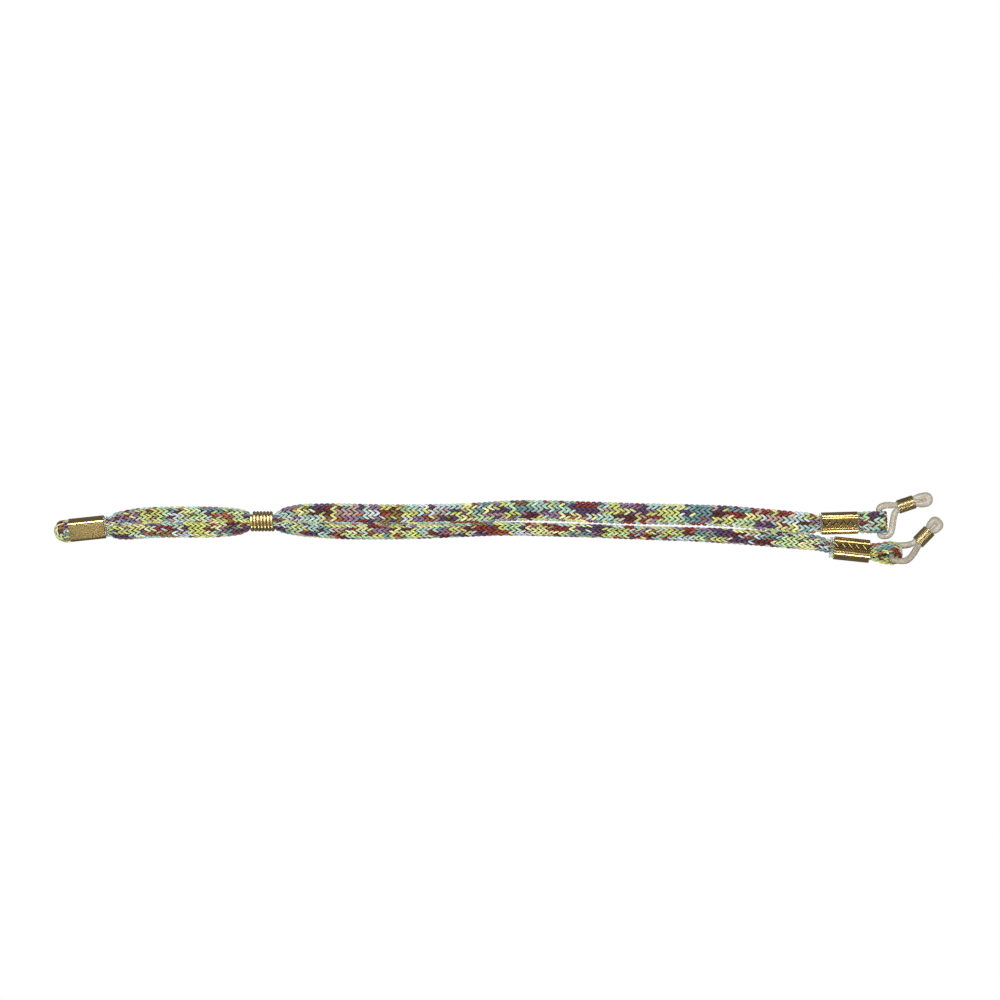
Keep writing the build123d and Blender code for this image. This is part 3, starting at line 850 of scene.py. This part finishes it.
def soft_tube(name, route, radius_keys, material):
    """A tube along a route; each radius key gives a share of its length and the radius there."""
    line = follow(route, RING_STEP)
    along = arc_lengths(line)
    tangent = unit(smoothed(np.gradient(line, axis=0), 2))
    side = [np.cross(tangent[0], (0.0, 0.0, 1.0))]
    for t in tangent[1:]:
        carried = side[-1] - (side[-1] @ t) * t
        side.append(carried / np.linalg.norm(carried))
    side = unit(np.array(side))
    up = np.cross(tangent, side)
    keys = [(share * along[-1], radius) for share, radius in radius_keys]
    radii = keyed(along, keys)[:, 0]
    vertices, faces = round_tube(line, side, up, radii, RING_SIDES)
    return mesh_object(name, vertices, faces, [material])


def make_ring(prefix, place, hinge, across, band_half, legs, eye, node, material):
    """The near part passes through the cord loop, the far part forms the temple eye."""
    middle, heading, side = place
    hinge, across = Vector(hinge), Vector(across).normalized()
    near = middle - heading * COIL_LENGTH / 2
    far = middle + heading * COIL_LENGTH / 2
    reach = band_half + 1.35 * MM
    halves = {}
    for sign, points in ((1, legs[0]), (-1, legs[1])):
        offset = side * (sign * LEG_OFFSET)
        halves[sign] = (
            [middle + offset, near + offset, near + offset * 1.05 - heading * 1.4 * MM]
            + [Vector(p) * MM for p in points]
            + [hinge + across * (sign * reach), hinge + across * (sign * (band_half - 0.3 * MM))]
        )
    near_route = halves[1] + [hinge] + halves[-1][::-1]
    radius_keys = [(0, LEG_IN_COIL), (0.09, LEG_IN_COIL), (0.16, LEG_FREE), (0.34, LEG_FREE),
                   (0.42, LEG_IN_LOOP), (0.58, LEG_IN_LOOP), (0.66, LEG_FREE), (0.86, LEG_FREE),
                   (0.93, LEG_IN_COIL), (1, LEG_IN_COIL)]
    near_part = soft_tube(f"{prefix}_ring_near", [tuple(p) for p in near_route], radius_keys, material)
    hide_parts(node)
    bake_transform(near_part)

    eye_length, eye_half, tilt = eye
    bent = Matrix.Rotation(math.radians(tilt), 3, "Z") @ heading
    bent_side = Vector((0, 0, 1)).cross(bent)
    apex = far + bent * eye_length
    far_route = [middle + side * LEG_OFFSET, far + side * LEG_OFFSET,
                 far + heading * 0.9 * MM + side * LEG_OFFSET * 1.15,
                 far + bent * 2.2 * MM + bent_side * eye_half,
                 apex + bent_side * eye_half, apex - bent_side * eye_half,
                 far + bent * 2.2 * MM - bent_side * eye_half,
                 far + heading * 0.9 * MM - side * LEG_OFFSET * 1.15,
                 far - side * LEG_OFFSET, middle - side * LEG_OFFSET]
    eye_keys = [(0, LEG_IN_COIL), (0.18, LEG_IN_COIL), (0.32, LEG_AT_EYE), (0.68, LEG_AT_EYE),
                (0.82, LEG_IN_COIL), (1, LEG_IN_COIL)]
    far_part = soft_tube(f"{prefix}_ring_eye", [tuple(p) for p in far_route], eye_keys, material)
    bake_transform(far_part)


# ---------------------------------------------------------------- build
def dress_node(name, material):
    """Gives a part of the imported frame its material, and leaves its shape as it is."""
    node = frame["nodes"][name]
    if node.material_slots:
        for entry in node.material_slots:
            entry.material = material
    else:
        node.data.materials.append(material)


def main():
    make_camera()
    yarn = [yarn_material(), core_material()]
    make_tail_run(yarn)
    make_end_run("cord_upper_run", UPPER_ROUTE, upper, upper, UPPER_SIZES, (4.15, 0.92, 3.75), -1, 23,
                 ("cord_upper_strand", "cord_upper_loop"), yarn)
    make_end_run("cord_lower_run", LOWER_ROUTE, lower, lower_loop, LOWER_SIZES, (2.9, 1.1, 2.95), 1, 37,
                 ("cord_lower_strand", "cord_lower_loop"), yarn)

    crimps = {"tail": tail, "upper_end": upper, "lower_end": lower}
    wire_brass = metal_material("adjuster_wire_brass", linear(226, 206, 154), linear(206, 184, 130),
                                (0.26, 0.34), (4, 4, 4))
    coil_brass = metal_material("coil_wire_brass", linear(226, 208, 160), linear(206, 186, 138),
                                (0.28, 0.36), (4, 4, 4))
    clear = liner_material()
    silicone = silicone_material()
    for end, place in crimps.items():
        brass = seam_material(f"{end}_crimp_brass", linear(224, 198, 136), linear(196, 168, 106),
                              (0.17, 0.21), (1, 8, 8), place)
        dress_node(f"{end}_crimp", brass)
        dress_node(f"{end}_liner", clear)
    make_adjuster(wire_brass)

    joints = {joint["name"]: joint for joint in frame["joints"]}
    upper_place = ring_coil_place("upper_ring_coil", (0.948, 0.319, 0))
    lower_place = ring_coil_place("lower_ring_coil", (0.70, 0.714, 0))
    make_ring_coil("upper_wire_coil", "upper_ring_coil", "upper_coil", upper_place, coil_brass)
    make_ring_coil("lower_wire_coil", "lower_ring_coil", "lower_coil", lower_place, coil_brass)
    upper_legs = ([(139.7, 9.2, 2.8), (137.9, 8.9, 2.9)],
                  [(141.5, 3.6, 2.7), (141.1, -0.3, 2.7), (139.5, -2.3, 2.8)])
    lower_legs = ([(147.4, -5.2, 1.7), (144.9, -5.5, 1.2)],
                  [(149.2, -7.5, 4.2), (147.2, -9.8, 6.7), (144.9, -11.1, 8.1)])
    for prefix, place, band_half, legs, eye in (
        ("upper", upper_place, 3.7 * MM, upper_legs, (5.5 * MM, 1.32 * MM, -8)),
        ("lower", lower_place, 2.8 * MM, lower_legs, (4.3 * MM, 1.48 * MM, 0)),
    ):
        joint = joints[f"{prefix}_ring_swing"]
        across = [-value for value in joint["axis"]]
        make_ring(prefix, place, joint["pos_m"], across, band_half, legs, eye,
                  f"{prefix}_temple_ring", silicone)
    make_studio()


main()
